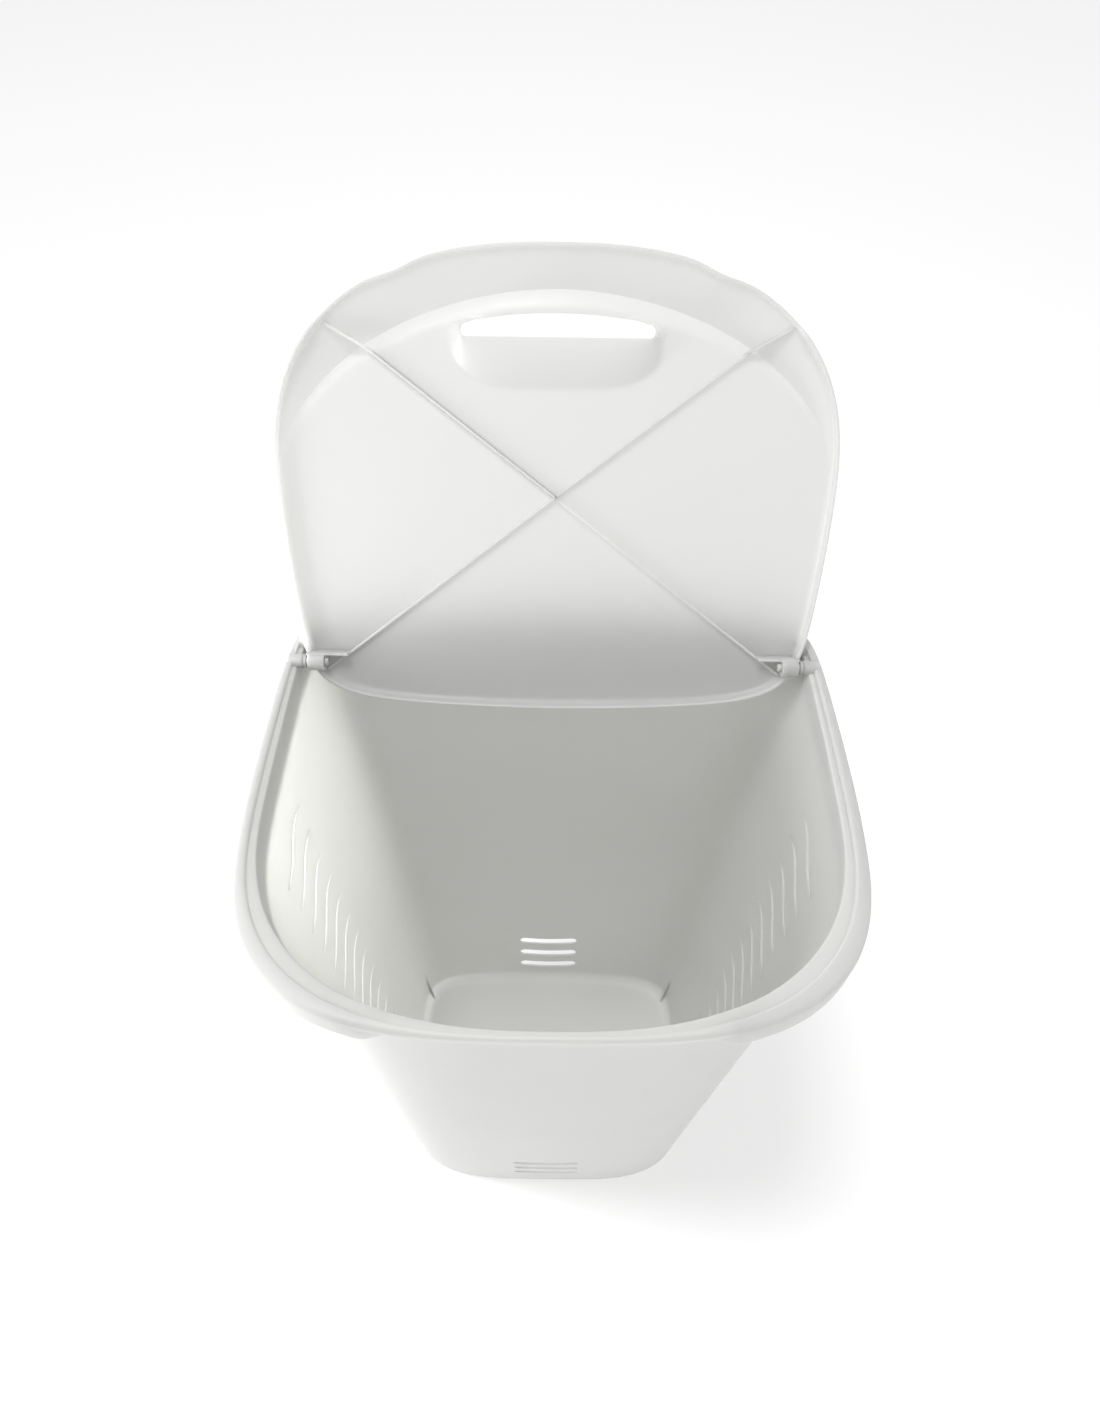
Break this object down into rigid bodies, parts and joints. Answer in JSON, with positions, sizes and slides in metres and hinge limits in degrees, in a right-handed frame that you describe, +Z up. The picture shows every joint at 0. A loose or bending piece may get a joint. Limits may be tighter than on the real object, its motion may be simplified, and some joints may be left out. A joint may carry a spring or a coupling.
{
  "type": "laundry hamper with lid",
  "caption": "Tapering D-shaped plastic laundry hamper with wavy side vents and a lid that swings up on two short hinge pins.",
  "frame": {"origin": "centre of the flat underside, on the floor", "axes": "+Z up, -Y towards the front of the hamper, +X to its right seen from the front; the hinge axis runs along X"},
  "size_m": [0.458, 0.4997, 0.863],
  "materials": {
    "basket_plastic": "satin moulded, slightly translucent",
    "lid_plastic": "satin moulded, slightly translucent",
    "pin_plastic": "satin moulded"
  },
  "bodies": {
    "basket_body": {"basket": "basket_plastic", "left_hinge_pin": "pin_plastic", "right_hinge_pin": "pin_plastic"},
    "lid_body": {"lid": "lid_plastic"}
  },
  "joints": [
    {"name": "lid_hinge", "type": "hinge", "parent": "basket_body", "child": "lid_body", "pos_m": [0, 0.151, 0.606], "axis": [1, 0, 0], "range_deg": [0, 125]}
  ]
}
